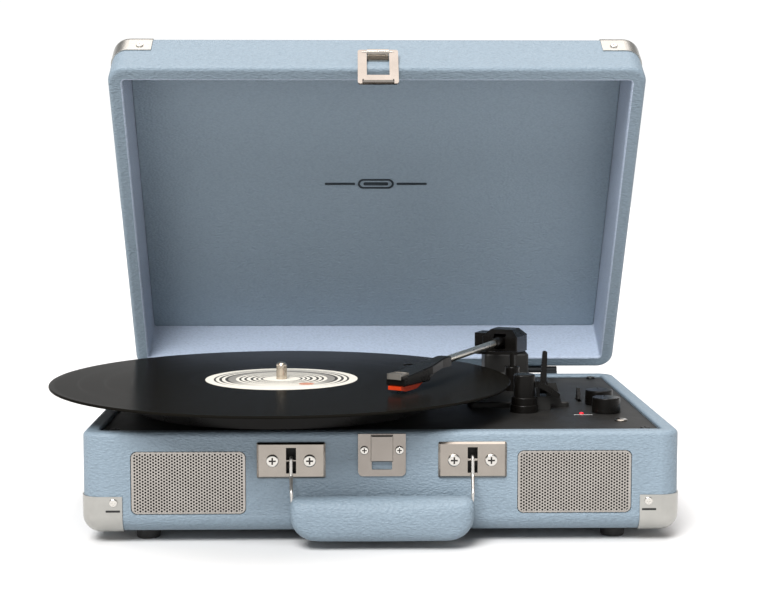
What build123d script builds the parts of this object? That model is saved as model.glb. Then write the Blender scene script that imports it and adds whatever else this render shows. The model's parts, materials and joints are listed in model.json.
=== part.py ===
"""Portable suitcase record player: vinyl-covered case, hinged lid, belt-driven platter and tonearm.

Millimetres. +X is to the listener's right, +Y is towards the hinges, +Z is up. The origin is on the
surface that the feet stand on, under the middle of the case. The lid stands open, the handle hangs
down, and the tonearm rests on a twelve-inch record.
"""
import os
from math import cos, radians, sin

from build123d import *

os.makedirs("parts", exist_ok=True)

# ---------------------------------------------------------------- case
case_width = 359.0
case_depth = 254.0
case_height = 61.0
foot_height = 7.0
wall = 9.7
floor_thickness = 5.0
corner_radius = 11.5
bottom_edge_radius = 10.0
rim_radius = 3.0
rim_z = foot_height + case_height
half_width = case_width / 2
half_depth = case_depth / 2
inner_width = case_width - 2 * wall
inner_depth = case_depth - 2 * wall
foot_x = 142.4
foot_y = 105.0
foot_radius = 8.0

# ---------------------------------------------------------------- lid
lid_height = 46.5
lid_gap = 0.3
lid_panel = 5.0
lid_open_angle = 59.0
liner_thickness = 1.5
lid_edge_radius = 8.0
hinge_y = half_depth + 3.5
hinge_z = rim_z + 2.3
hinge_x = 121.0
hinge_width = 34.0
barrel_radius = 2.5
hinge_pin_radius = 1.2

# ---------------------------------------------------------------- deck
deck_thickness = 2.0
deck_z = rim_z - 2.0
deck_gap = 0.4
deck_screw_x = 161.0
deck_screw_y = 110.0
arm_plate_height = 3.5

# ---------------------------------------------------------------- platter and record
spindle_x = -64.0
spindle_y = -25.5
spindle_radius = 3.55
spindle_hub_radius = 3.6
journal_radius = 3.0
running_gap = 0.05
platter_radius = 97.0
platter_z = deck_z + 3.0
platter_top = platter_z + 13.2
mat_thickness = 1.9
record_radius = 150.5
record_thickness = 1.7
record_z = platter_top + mat_thickness
record_top = record_z + record_thickness
label_radius = 50.0
label_thickness = 0.12
spindle_step_z = record_top + label_thickness + 0.28
spindle_groove = 0.6
spindle_top = record_top + 11.2
drive_ring_radius = 60.0
pulley_radius = 3.0
pulley_distance = 75.0
pulley_direction = 140.0
belt_thickness = 0.8
belt_width = 4.0

# ---------------------------------------------------------------- tonearm
pivot_x = 93.0
pivot_y = 74.0
arm_z = 99.6
tube_length = 133.0
tube_radius = 2.4
arm_direction = 246.1
head_offset = 9.2
stylus_distance = 51.0
stylus_gap = 0.3
arm_housing_top = 108.0
arm_housing_bottom = 91.5
block_top = 91.0
lift_radius = 45.0

# ---------------------------------------------------------------- front fittings
front_y = -half_depth
grille_x = 115.7
grille_width = 68.5
grille_height = 38.0
grille_z = rim_z - 30.6
handle_x = 54.2
handle_z = rim_z - 16.8
handle_pivot_y = front_y - 0.9
handle_plate_width = 41.0
handle_plate_height = 21.7
plate_thickness = 2.0
wire_radius = 1.0
grip_top = 32.0
grip_bottom = 4.7
grip_width = 111.0
grip_y = front_y - 12.5
grip_thickness = 20.0
catch_width = 28.5
catch_top = rim_z - 1.0
catch_height = 25.6

# ---------------------------------------------------------------- placing planes
FRONT = Plane(origin=(0, front_y, 0), x_dir=(1, 0, 0), z_dir=(0, -1, 0))
BACK = Plane(origin=(0, half_depth, 0), x_dir=(-1, 0, 0), z_dir=(0, 1, 0))
opening = radians(lid_open_angle)
LID = Plane(origin=(0, hinge_y, hinge_z), x_dir=(1, 0, 0), z_dir=(0, sin(opening), cos(opening)))
ARM = Plane(
    origin=(pivot_x, pivot_y, arm_z),
    x_dir=(cos(radians(arm_direction)), sin(radians(arm_direction)), 0),
    z_dir=(0, 0, 1),
)
HEAD = Plane(
    origin=ARM.from_local_coords((tube_length, 0, 0)),
    x_dir=(cos(radians(arm_direction - head_offset)), sin(radians(arm_direction - head_offset)), 0),
    z_dir=(0, 0, 1),
)

# lid heights and depths measured from the hinge axis with the lid closed
lid_rim = lid_gap + rim_z - hinge_z
lid_top = lid_rim + lid_height
lid_middle = -hinge_y
lid_front = front_y - hinge_y
lid_back = half_depth - hinge_y
LID_FRONT = Plane(
    origin=LID.from_local_coords((0, lid_front, 0)),
    x_dir=(1, 0, 0),
    z_dir=LID.y_dir * -1,
)
LID_BACK = Plane(
    origin=LID.from_local_coords((0, lid_back, 0)),
    x_dir=(-1, 0, 0),
    z_dir=LID.y_dir,
)


def save(part, name):
    """Label one finished piece and write it under its own name."""
    part.label = name
    export_step(part, f"parts/{name}.step")


def pan_head(groups):
    """Domed cross-recess screws, one solid at each place of each (plane, places, size) group.

    A size is head radius, head height, shank radius and shank length. Groups that face the same way
    go from the lowest head to the highest.
    """
    with BuildPart() as screws:
        for plane, places, (radius, height, shank_radius, shank_length) in groups:
            with BuildSketch(plane):
                with Locations(*places):
                    Circle(radius)
            extrude(amount=height)
            heads = screws.faces().sort_by(Axis(plane.origin, plane.z_dir))[-len(places):]
            fillet(heads.edges(), height * 0.6)
            with BuildSketch(plane):
                with Locations(*places):
                    Circle(shank_radius)
            extrude(amount=-shank_length)
            with BuildSketch(plane.offset(height)):
                with Locations(*places):
                    Rectangle(radius * 1.1, radius * 0.26)
                    Rectangle(radius * 0.26, radius * 1.1)
            extrude(amount=-height * 0.5, mode=Mode.SUBTRACT)
    return screws.part


# ================================================================ case, deck and fittings
with BuildPart() as base_outer:
    with BuildSketch(Plane.XY.offset(foot_height)):
        RectangleRounded(case_width, case_depth, corner_radius)
    extrude(amount=case_height)
    fillet(base_outer.faces().sort_by(Axis.Z)[0].edges(), bottom_edge_radius)
    fillet(base_outer.faces().sort_by(Axis.Z)[-1].edges(), rim_radius)

block_size = 15.0
with BuildPart() as base_case:
    add(base_outer.part)
    with BuildSketch(Plane.XY.offset(foot_height + floor_thickness)):
        RectangleRounded(inner_width, inner_depth, 2)
    extrude(amount=case_height, mode=Mode.SUBTRACT)
    fillet(base_case.faces().sort_by(Axis.Z)[-1].inner_wires()[0].edges(), 1.5)
    # glued corner blocks carry the deck
    with BuildSketch(Plane.XY.offset(deck_z - deck_thickness)):
        with GridLocations(inner_width - block_size, inner_depth - block_size, 2, 2):
            Rectangle(block_size, block_size)
    extrude(amount=-30)
    with BuildSketch(Plane.XY.offset(deck_z - deck_thickness)):
        with GridLocations(2 * deck_screw_x, 2 * deck_screw_y, 2, 2):
            Circle(1.5)
    extrude(amount=-12, mode=Mode.SUBTRACT)
    # speaker windows with a shallow seat for each grille
    with BuildSketch(FRONT):
        with Locations((-grille_x, grille_z), (grille_x, grille_z)):
            RectangleRounded(grille_width - 6, grille_height - 6, 2)
    extrude(amount=-wall - 1, mode=Mode.SUBTRACT)
    with BuildSketch(FRONT):
        with Locations((-grille_x, grille_z), (grille_x, grille_z)):
            RectangleRounded(grille_width + 0.4, grille_height + 0.4, 3.9)
    extrude(amount=-1.6, mode=Mode.SUBTRACT)
    # slots behind the handle plates, where the wire eyes turn
    with BuildSketch(FRONT):
        with Locations((-handle_x, handle_z), (handle_x, handle_z)):
            Rectangle(6.0, 15.5)
    extrude(amount=-5, mode=Mode.SUBTRACT)
    # holes for the front screws
    with BuildSketch(FRONT):
        for side in (-1, 1):
            with Locations((side * handle_x - 11.1, handle_z), (side * handle_x + 11.1, handle_z)):
                Circle(1.5)
        with Locations((-10.5, rim_z - 10.8), (10.5, rim_z - 10.8)):
            Circle(1.0)
    extrude(amount=-8, mode=Mode.SUBTRACT)
    # window for the socket panel
    with BuildSketch(BACK):
        with Locations((-105, 38)):
            Rectangle(76, 22)
    extrude(amount=-wall - 1, mode=Mode.SUBTRACT)
    # foot screw holes
    with BuildSketch(Plane.XY.offset(foot_height)):
        with GridLocations(2 * foot_x, 2 * foot_y, 2, 2):
            Circle(1.5)
    extrude(amount=4, mode=Mode.SUBTRACT)
save(base_case.part, "base_case")

control_places = {
    "volume": (147.5, -45.0),
    "tone": (148.0, -12.0),
}
speed_lever_place = (137.0, 8.0)
led_place = (130.6, -51.0)
phones_place = (151.5, -78.5)
lever_place = (108.0, -30.0)
motor_place = (
    spindle_x + pulley_distance * cos(radians(pulley_direction)),
    spindle_y + pulley_distance * sin(radians(pulley_direction)),
)
lift_angle = 271.0
lift_place = (
    pivot_x + lift_radius * cos(radians(lift_angle)),
    pivot_y + lift_radius * sin(radians(lift_angle)),
)

with BuildPart() as deck_plate:
    with BuildSketch(Plane.XY.offset(deck_z - deck_thickness)):
        RectangleRounded(inner_width - 2 * deck_gap, inner_depth - 2 * deck_gap, 1.8)
        with Locations((spindle_x, spindle_y)):
            Circle(6.0, mode=Mode.SUBTRACT)
        with Locations(motor_place):
            Circle(6.0, mode=Mode.SUBTRACT)
        with Locations((pivot_x, pivot_y)):
            Circle(3.2, mode=Mode.SUBTRACT)
        with Locations(lift_place):
            Circle(2.3, mode=Mode.SUBTRACT)
        with Locations(*control_places.values()):
            Circle(3.5, mode=Mode.SUBTRACT)
        with Locations(speed_lever_place):
            Rectangle(3.0, 17.0, mode=Mode.SUBTRACT)
        with Locations(led_place):
            Circle(1.5, mode=Mode.SUBTRACT)
        with Locations(phones_place):
            Circle(3.0, mode=Mode.SUBTRACT)
        with GridLocations(2 * deck_screw_x, 2 * deck_screw_y, 2, 2):
            Circle(1.7, mode=Mode.SUBTRACT)
    extrude(amount=deck_thickness)
save(deck_plate.part, "deck_plate")

DECK = Plane.XY.offset(deck_z)
deck_screw_places = [(side * deck_screw_x, end * deck_screw_y) for side in (-1, 1) for end in (-1, 1)]
save(pan_head([(DECK, deck_screw_places, (3.2, 1.5, 1.45, 9))]), "deck_screws")

with BuildPart() as arm_plate:
    with BuildSketch(Plane.XY.offset(deck_z)):
        with Locations(((60 + 126.5) / 2, (-24 + 96) / 2)):
            RectangleRounded(66.5, 120, 3)
        with Locations((pivot_x, pivot_y)):
            Circle(3.2, mode=Mode.SUBTRACT)
        with Locations(lift_place):
            Circle(2.3, mode=Mode.SUBTRACT)
        with Locations(lever_place):
            Rectangle(9, 14, mode=Mode.SUBTRACT)
    extrude(amount=arm_plate_height)
    chamfer(arm_plate.faces().sort_by(Axis.Z)[-1].outer_wire().edges(), 0.8)
save(arm_plate.part, "tonearm_base_plate")

with BuildPart() as pivot_block:
    with BuildSketch(Plane.XY.offset(deck_z + arm_plate_height)):
        with Locations((pivot_x, pivot_y)):
            RectangleRounded(40, 36, 4)
    with BuildSketch(Plane.XY.offset(78)):
        with Locations((pivot_x, pivot_y)):
            RectangleRounded(31.5, 30, 3)
    loft()
    with BuildSketch(Plane.XY.offset(78)):
        with Locations((pivot_x, pivot_y)):
            RectangleRounded(31.5, 30, 3)
    extrude(amount=block_top - 78)
    fillet(pivot_block.faces().sort_by(Axis.Z)[-1].edges(), 1.0)
    with Locations(Plane.XY.offset(block_top)):
        with Locations((pivot_x, pivot_y)):
            Hole(3.05)
save(pivot_block.part, "tonearm_pivot_block")

with BuildPart() as bearing:
    with BuildSketch(Plane.XY.offset(48)):
        with Locations((spindle_x, spindle_y)):
            Circle(5.9)
    extrude(amount=deck_z - 48)
    with BuildSketch(Plane.XY.offset(deck_z)):
        with Locations((spindle_x, spindle_y)):
            Circle(9)
    extrude(amount=2)
    with BuildSketch(Plane.XY.offset(50)):
        with Locations((spindle_x, spindle_y)):
            Circle(journal_radius + running_gap)
    extrude(amount=30, mode=Mode.SUBTRACT)
save(bearing.part, "spindle_bearing")

with BuildPart() as motor_can:
    with BuildSketch(Plane.XY.offset(deck_z - deck_thickness)):
        with Locations(motor_place):
            Circle(16)
    extrude(amount=-24)
    fillet(motor_can.faces().sort_by(Axis.Z)[0].edges(), 2)
    with BuildSketch(Plane.XY.offset(deck_z - deck_thickness)):
        with Locations(motor_place):
            Circle(6)
    extrude(amount=-3, mode=Mode.SUBTRACT)
    with BuildSketch(Plane.XY.offset(deck_z - deck_thickness)):
        with Locations(motor_place):
            Circle(1.05)
    extrude(amount=-16, mode=Mode.SUBTRACT)
save(motor_can.part, "drive_motor")

BELT = Plane(
    origin=(spindle_x, spindle_y, 73),
    x_dir=(cos(radians(pulley_direction)), sin(radians(pulley_direction)), 0),
    z_dir=(0, 0, 1),
)


def belt_loop(clearance):
    """Outline of the belt round the drive ring and the pulley, held off both by a clearance."""
    Circle(drive_ring_radius + clearance)
    with Locations((pulley_distance, 0)):
        Circle(pulley_radius + clearance)
    make_hull()


with BuildPart() as drive_belt:
    with BuildSketch(BELT):
        belt_loop(running_gap + belt_thickness)
    extrude(amount=belt_width)
    with BuildSketch(BELT):
        belt_loop(running_gap)
    extrude(amount=belt_width, mode=Mode.SUBTRACT)
save(drive_belt.part, "drive_belt")

with BuildPart() as circuit_board:
    with BuildSketch(Plane.XY.offset(26)):
        with Locations((105, half_depth - wall - 31)):
            Rectangle(80, 58)
    extrude(amount=1.6)
    with BuildSketch(Plane.XY.offset(27.6)):
        with Locations((85, 75), (96, 75), (107, 75)):
            Circle(4)
    extrude(amount=10)
    with BuildSketch(Plane.XY.offset(27.6)):
        with Locations((130, 75)):
            Rectangle(16, 8)
    extrude(amount=3)
save(circuit_board.part, "circuit_board")

# ---------------------------------------------------------------- speakers
basket_width = 74.0
basket_height = 40.0
inner_front = front_y + wall
INNER_FRONT = Plane(origin=(0, inner_front, 0), x_dir=(-1, 0, 0), z_dir=(0, 1, 0))

for side, word in ((-1, "left"), (1, "right")):
    with BuildPart() as grille:
        with BuildSketch(FRONT.offset(-1.4)):
            with Locations((side * grille_x, grille_z)):
                RectangleRounded(grille_width, grille_height, 3.7)
        extrude(amount=1.0)
        fillet(grille.faces().sort_by(Axis.Y)[0].edges(), 0.6)
    save(grille.part, f"speaker_grille_{word}")

with BuildPart() as baskets:
    for side in (-1, 1):
        with BuildSketch(INNER_FRONT):
            with Locations((side * grille_x, grille_z - 1)):
                RectangleRounded(basket_width, basket_height, 4)
                Ellipse(30, 16, mode=Mode.SUBTRACT)
        extrude(amount=1.5)
        with BuildSketch(INNER_FRONT.offset(1.5)):
            with Locations((side * grille_x, grille_z - 1)):
                Ellipse(32, 18)
                Ellipse(30, 16, mode=Mode.SUBTRACT)
        extrude(amount=14)
        with BuildSketch(INNER_FRONT.offset(15.5)):
            with Locations((side * grille_x, grille_z - 1)):
                Ellipse(32, 18)
                Circle(8, mode=Mode.SUBTRACT)
        extrude(amount=1.5)
save(baskets.part, "speaker_baskets")

with BuildPart() as cones:
    for side in (-1, 1):
        with BuildSketch(INNER_FRONT.offset(0.4)):
            with Locations((side * grille_x, grille_z - 1)):
                Ellipse(29.5, 15.5)
        with BuildSketch(INNER_FRONT.offset(12)):
            with Locations((side * grille_x, grille_z - 1)):
                Ellipse(9, 8)
        loft()
        with BuildSketch(INNER_FRONT.offset(0.4)):
            with Locations((side * grille_x, grille_z - 1)):
                Ellipse(27, 13.5)
        with BuildSketch(INNER_FRONT.offset(10.5)):
            with Locations((side * grille_x, grille_z - 1)):
                Ellipse(7, 6.5)
        loft(mode=Mode.SUBTRACT)
save(cones.part, "speaker_cones")

with BuildPart() as magnets:
    with BuildSketch(INNER_FRONT.offset(17.0)):
        with Locations((-grille_x, grille_z - 1), (grille_x, grille_z - 1)):
            Circle(16)
    extrude(amount=9)
    chamfer(magnets.faces().sort_by(Axis.Y)[-2:].edges(), 1)
save(magnets.part, "speaker_magnets")

# ---------------------------------------------------------------- handle plates and lid catch
with BuildPart() as handle_plates:
    for side in (-1, 1):
        with BuildSketch(FRONT):
            with Locations((side * handle_x, handle_z)):
                RectangleRounded(handle_plate_width, handle_plate_height, 1.2)
        extrude(amount=plate_thickness)
    chamfer(handle_plates.faces().sort_by(Axis.Y)[:2].edges(), 1.2)
    with BuildSketch(FRONT):
        with Locations((-handle_x, handle_z), (handle_x, handle_z)):
            Rectangle(6.0, 15.5)
        for side in (-1, 1):
            with Locations((side * handle_x - 11.1, handle_z), (side * handle_x + 11.1, handle_z)):
                Circle(1.5)
    extrude(amount=plate_thickness, mode=Mode.SUBTRACT)
    # cross pin that each wire eye turns on
    for side in (-1, 1):
        with BuildSketch(Plane.YZ.offset(side * handle_x - 3.5)):
            with Locations((handle_pivot_y, handle_z)):
                Circle(0.9)
        extrude(amount=7)
save(handle_plates.part, "handle_plates")

with BuildPart() as catch:
    with BuildSketch(FRONT):
        with Locations((0, catch_top - catch_height / 2)):
            Rectangle(catch_width, catch_height)
        fillet(vertices().group_by(Axis.Y)[0], 3)
        with Locations((0, rim_z - 20.1)):
            RectangleRounded(12.2, 4.9, 0.8, mode=Mode.SUBTRACT)
        with Locations((-10.5, rim_z - 10.8), (10.5, rim_z - 10.8)):
            Circle(1.0, mode=Mode.SUBTRACT)
    extrude(amount=1.2)
    with BuildSketch(FRONT.offset(1.2)):
        with Locations((0, rim_z - 9.6)):
            Rectangle(13.2, 15.8)
    extrude(amount=2.4)
    fillet(catch.faces().sort_by(Axis.Y)[0].edges(), 0.8)
save(catch.part, "latch_catch")

plate_screw_places = [
    (-handle_x - 11.1, handle_z),
    (-handle_x + 11.1, handle_z),
    (handle_x - 11.1, handle_z),
    (handle_x + 11.1, handle_z),
]
catch_screw_places = [(-10.5, rim_z - 10.8), (10.5, rim_z - 10.8)]
front_screw_groups = [
    (FRONT.offset(1.2), catch_screw_places, (2.6, 1.4, 0.95, 7)),
    (FRONT.offset(plate_thickness), plate_screw_places, (3.8, 1.8, 1.45, 9)),
]
save(pan_head(front_screw_groups), "front_screws")


# ---------------------------------------------------------------- metal corner covers
corner_reach = 22.4
corner_gauge = 0.8
with BuildPart() as base_corners:
    with BuildSketch(Plane.XY.offset(foot_height - corner_gauge)):
        RectangleRounded(
            case_width + 2 * corner_gauge, case_depth + 2 * corner_gauge, corner_radius + corner_gauge
        )
    extrude(amount=case_height)
    fillet(base_corners.faces().sort_by(Axis.Z)[0].edges(), bottom_edge_radius + corner_gauge)
    add(base_outer.part, mode=Mode.SUBTRACT)
    with BuildSketch(Plane.XY.offset(foot_height - 2)):
        with GridLocations(case_width - corner_reach, case_depth - corner_reach, 2, 2):
            Rectangle(corner_reach + 4, corner_reach + 4)
    extrude(amount=corner_reach + 2, mode=Mode.INTERSECT)
save(base_corners.part, "base_corners")

corner_screw_inset = 19.2
corner_screw_z = foot_height + 18.8
corner_screw_places = [
    (-half_width + corner_screw_inset, corner_screw_z),
    (half_width - corner_screw_inset, corner_screw_z),
]
base_hinge_places = [(side * hinge_x + shift, rim_z - 14) for side in (-1, 1) for shift in (-11, 11)]
small_screw = (2.5, 1.0, 0.9, 6)
foot_screw = (2.9, 1.6, 1.45, 6.5)
foot_screw_places = [(side * foot_x, end * foot_y) for side in (-1, 1) for end in (-1, 1)]
FOOT_SEAT = Plane(origin=(0, 0, 4.0), x_dir=(1, 0, 0), z_dir=(0, 0, -1))
case_screw_groups = [
    (FRONT.offset(corner_gauge), corner_screw_places, small_screw),
    (BACK.offset(corner_gauge), corner_screw_places, small_screw),
    (BACK.offset(1.2), base_hinge_places, small_screw),
    (FOOT_SEAT, foot_screw_places, foot_screw),
]
save(pan_head(case_screw_groups), "case_small_screws")

with BuildPart() as feet:
    with BuildSketch(Plane.XY.offset(foot_height)):
        with GridLocations(2 * foot_x, 2 * foot_y, 2, 2):
            Circle(foot_radius)
    extrude(amount=-foot_height, taper=8)
    fillet(feet.faces().sort_by(Axis.Z)[:4].edges(), 0.8)
    with Locations(Plane.XY.rotated((180, 0, 0))):
        with GridLocations(2 * foot_x, 2 * foot_y, 2, 2):
            CounterBoreHole(1.6, 3.2, 4.0)
save(feet.part, "rubber_feet")

# ---------------------------------------------------------------- sockets on the back
panel_z = 38.0
with BuildPart() as socket_panel:
    with BuildSketch(BACK.offset(-1.0)):
        with Locations((-105, panel_z)):
            Rectangle(76, 22)
        with Locations((-130, panel_z)):
            Circle(3.3, mode=Mode.SUBTRACT)
        with Locations((-105, panel_z), (-87, panel_z)):
            Circle(3.0, mode=Mode.SUBTRACT)
    extrude(amount=-3)
save(socket_panel.part, "socket_panel")

with BuildPart() as rca:
    with BuildSketch(BACK.offset(-4.0)):
        with Locations((-105, panel_z), (-87, panel_z)):
            Circle(2.95)
    extrude(amount=4)
    with BuildSketch(BACK.offset(-1.0)):
        with Locations((-105, panel_z), (-87, panel_z)):
            Circle(5.5)
    extrude(amount=1)
    with BuildSketch(BACK.offset(0)):
        with Locations((-105, panel_z), (-87, panel_z)):
            Circle(4.15)
    extrude(amount=8)
    with BuildSketch(BACK.offset(8)):
        with Locations((-105, panel_z), (-87, panel_z)):
            Circle(1.65)
    extrude(amount=-10, mode=Mode.SUBTRACT)
    with BuildSketch(BACK.offset(-4.0)):
        with Locations((-105, panel_z - 2), (-87, panel_z - 2)):
            Rectangle(11, 15)
    extrude(amount=-10)
save(rca.part, "line_out_sockets")

with BuildPart() as dc_jack:
    with BuildSketch(BACK.offset(-4.0)):
        with Locations((-130, panel_z - 2)):
            Rectangle(9, 15)
    extrude(amount=-13)
    with BuildSketch(BACK.offset(-4.0)):
        with Locations((-130, panel_z)):
            Circle(3.2)
    extrude(amount=3)
    with BuildSketch(BACK.offset(-1.0)):
        with Locations((-130, panel_z)):
            Circle(2.8)
    extrude(amount=-10, mode=Mode.SUBTRACT)
    with BuildSketch(BACK.offset(-11.0)):
        with Locations((-130, panel_z)):
            Circle(1.0)
    extrude(amount=9)
save(dc_jack.part, "power_socket")

with BuildPart() as phones:
    with BuildSketch(Plane.XY.offset(deck_z)):
        with Locations(phones_place):
            Circle(4)
    extrude(amount=1.2)
    chamfer(phones.faces().sort_by(Axis.Z)[-1].edges(), 0.4)
    with BuildSketch(Plane.XY.offset(deck_z)):
        with Locations(phones_place):
            Circle(2.9)
    extrude(amount=-16)
    with BuildSketch(Plane.XY.offset(deck_z + 1.2)):
        with Locations(phones_place):
            Circle(1.8)
    extrude(amount=-14, mode=Mode.SUBTRACT)
save(phones.part, "headphone_socket")

with BuildPart() as led:
    with BuildSketch(Plane.XY.offset(deck_z - 4)):
        with Locations(led_place):
            Circle(1.45)
    extrude(amount=5)
    fillet(led.faces().sort_by(Axis.Z)[-1].edges(), 0.9)
save(led.part, "power_led")

with BuildPart() as pots:
    with BuildSketch(Plane.XY.offset(deck_z - deck_thickness)):
        with Locations(*control_places.values()):
            Circle(8.5)
    extrude(amount=-9)
    with BuildSketch(Plane.XY.offset(deck_z - deck_thickness)):
        with Locations(*control_places.values()):
            Circle(3.05)
    extrude(amount=-7, mode=Mode.SUBTRACT)
save(pots.part, "control_potentiometers")

# ================================================================ platter, spindle and record
SPINDLE = Plane(origin=(spindle_x, spindle_y, 0), x_dir=(1, 0, 0), z_dir=(0, 0, 1))

with BuildPart() as platter:
    with BuildSketch(SPINDLE.offset(platter_z)):
        Circle(platter_radius)
    extrude(amount=platter_top - platter_z)
    fillet(platter.faces().sort_by(Axis.Z)[-1].edges(), 1.5)
    with BuildSketch(SPINDLE.offset(platter_z)):
        Circle(platter_radius - 3)
        Circle(drive_ring_radius, mode=Mode.SUBTRACT)
        Circle(drive_ring_radius - 3)
        Circle(10, mode=Mode.SUBTRACT)
    extrude(amount=platter_top - platter_z - 3, mode=Mode.SUBTRACT)
    with BuildSketch(SPINDLE.offset(platter_z)):
        Circle(spindle_hub_radius)
    extrude(amount=platter_top - platter_z, mode=Mode.SUBTRACT)
save(platter.part, "platter")

with BuildPart() as mat:
    with BuildSketch(SPINDLE.offset(platter_top)):
        Circle(platter_radius - 2)
        Circle(spindle_radius + 0.2, mode=Mode.SUBTRACT)
    extrude(amount=mat_thickness)
save(mat.part, "platter_mat")

with BuildPart() as spindle:
    with BuildSketch(SPINDLE.offset(50.3)):
        Circle(journal_radius)
    extrude(amount=platter_z - 50.3)
    with BuildSketch(SPINDLE.offset(platter_z)):
        Circle(spindle_hub_radius)
    extrude(amount=spindle_step_z - spindle_groove - platter_z)
    # narrow relief groove that parts the seat from the tip
    with BuildSketch(SPINDLE.offset(spindle_step_z - spindle_groove)):
        Circle(journal_radius)
    extrude(amount=spindle_groove)
    with BuildSketch(SPINDLE.offset(spindle_step_z)):
        Circle(spindle_radius)
    extrude(amount=spindle_top - spindle_step_z)
    fillet(spindle.faces().sort_by(Axis.Z)[-1].edges(), 2.6)
save(spindle.part, "spindle")

with BuildPart() as record_disc:
    with BuildSketch(SPINDLE.offset(record_z)):
        Circle(record_radius)
        Circle(spindle_radius + 0.07, mode=Mode.SUBTRACT)
    extrude(amount=record_thickness)
    fillet(record_disc.edges().filter_by(GeomType.CIRCLE).sort_by(SortBy.RADIUS)[-2:], 0.7)
save(record_disc.part, "vinyl_record")

with BuildPart() as label:
    with BuildSketch(SPINDLE.offset(record_top)):
        Circle(label_radius)
        Circle(spindle_radius + 0.07, mode=Mode.SUBTRACT)
    extrude(amount=label_thickness)
save(label.part, "record_label")

PULLEY = Plane(origin=(motor_place[0], motor_place[1], 0), x_dir=(1, 0, 0), z_dir=(0, 0, 1))
with BuildPart() as pulley:
    with BuildSketch(PULLEY.offset(50)):
        Circle(1.0)
    extrude(amount=28)
    with BuildSketch(PULLEY.offset(71.5)):
        Circle(pulley_radius)
    extrude(amount=6.9)
    with BuildSketch(PULLEY.offset(71.5)):
        Circle(4.4)
    extrude(amount=0.8)
    with BuildSketch(PULLEY.offset(77.6)):
        Circle(4.4)
    extrude(amount=0.8)
save(pulley.part, "motor_pulley")

# ================================================================ tonearm
housing_length = 25.0
housing_width = 26.0
with BuildPart() as arm_housing:
    with BuildSketch(ARM.offset(arm_housing_bottom - arm_z)):
        Rectangle(housing_length, housing_width)
    extrude(amount=arm_housing_top - arm_housing_bottom)
    chamfer(arm_housing.faces().sort_by(Axis.Z)[-1].edges(), 5)
    fillet(arm_housing.edges().filter_by(Axis.Z), 1.2)
    # lower wing on the record side
    with BuildSketch(ARM.offset(arm_housing_bottom - arm_z)):
        with Locations((-3.5, -housing_width / 2 - 4)):
            Rectangle(housing_length - 9, 9)
    extrude(amount=arm_housing_top - arm_housing_bottom - 3.5)
    # slot that the arm tips in, open towards the record
    with BuildSketch(ARM.offset(-5.2)):
        with Locations((3.0, 0)):
            Rectangle(housing_length + 1, 9)
    extrude(amount=10.6, mode=Mode.SUBTRACT)
    with BuildSketch(ARM.offset(arm_housing_bottom - arm_z)):
        Circle(3.0)
    extrude(amount=3, mode=Mode.SUBTRACT)
    with BuildSketch(Plane(origin=ARM.origin, x_dir=ARM.x_dir, z_dir=ARM.y_dir).offset(-11)):
        Circle(1.5)
    extrude(amount=22, mode=Mode.SUBTRACT)
save(arm_housing.part, "tonearm_housing")

TILT = Plane(origin=ARM.origin, x_dir=ARM.x_dir, z_dir=ARM.y_dir)
with BuildPart() as arm_pins:
    with BuildSketch(ARM.offset(arm_housing_bottom - arm_z + 3)):
        Circle(3.0)
    extrude(amount=-32)
    with BuildSketch(TILT.offset(-11)):
        Circle(1.5)
    extrude(amount=22)
save(arm_pins.part, "tonearm_pivot_pins")

with BuildPart() as arm_tube:
    with BuildSketch(Plane(origin=ARM.origin, x_dir=ARM.y_dir, z_dir=ARM.x_dir).offset(6)):
        Circle(tube_radius)
        Circle(tube_radius - 0.6, mode=Mode.SUBTRACT)
    extrude(amount=tube_length - 2)
    with BuildSketch(TILT.offset(-3.8)):
        with Locations((1.5, 0)):
            Rectangle(17, 6.4)
        Circle(1.5 + running_gap, mode=Mode.SUBTRACT)
    extrude(amount=7.6)
save(arm_tube.part, "tonearm_tube")

head_front = stylus_distance + 6.0
HEAD_SIDE = Plane(origin=HEAD.origin, x_dir=HEAD.x_dir, z_dir=HEAD.y_dir * -1)
with BuildPart() as headshell:
    with BuildSketch(HEAD_SIDE.offset(-8)):
        with BuildLine():
            Polyline((-8, -3.2), (-8, 3.2), (-2, 3.4), (12, 1.6), (head_front - 6, -2.6),
                     (head_front - 1, -3.0), (head_front - 1, -4.6), (20, -4.6), (6, -3.2), close=True)
        make_face()
    extrude(amount=16)
    with BuildSketch(HEAD.offset(-6)):
        with BuildLine():
            Polyline((-8, -4), (4, -4.5), (22, -7.5), (head_front - 4, -7.5), (head_front, -5),
                     (head_front, 5), (head_front - 4, 7.5), (22, 7.5), (4, 4.5), (-8, 4), close=True)
        make_face()
    extrude(amount=12, mode=Mode.INTERSECT)
    chamfer(headshell.faces().filter_by(lambda f: f.normal_at().Z > 0.9).edges(), 0.7)
    with BuildSketch(Plane(origin=ARM.origin, x_dir=ARM.y_dir, z_dir=ARM.x_dir).offset(tube_length - 15)):
        Circle(tube_radius)
    extrude(amount=19, mode=Mode.SUBTRACT)
    # finger lift, moulded in one with the shell
    with BuildSketch(HEAD.offset(-0.8)):
        with BuildLine():
            Polyline((15, -4), (15, -12), (19, -14.5), (22, -14.5), (22, -12.9), (19.6, -12.9),
                     (18, -11), (18, -4), close=True)
        make_face()
    extrude(amount=1.0)
save(headshell.part, "headshell")

with BuildPart() as cartridge:
    with BuildSketch(HEAD.offset(-4.6)):
        with Locations((stylus_distance - 11.8, 0)):
            Rectangle(31.5, 13)
    extrude(amount=-4.4)
    chamfer(cartridge.faces().sort_by(Axis.Z)[0].edges(), 0.8)
save(cartridge.part, "cartridge")

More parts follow.
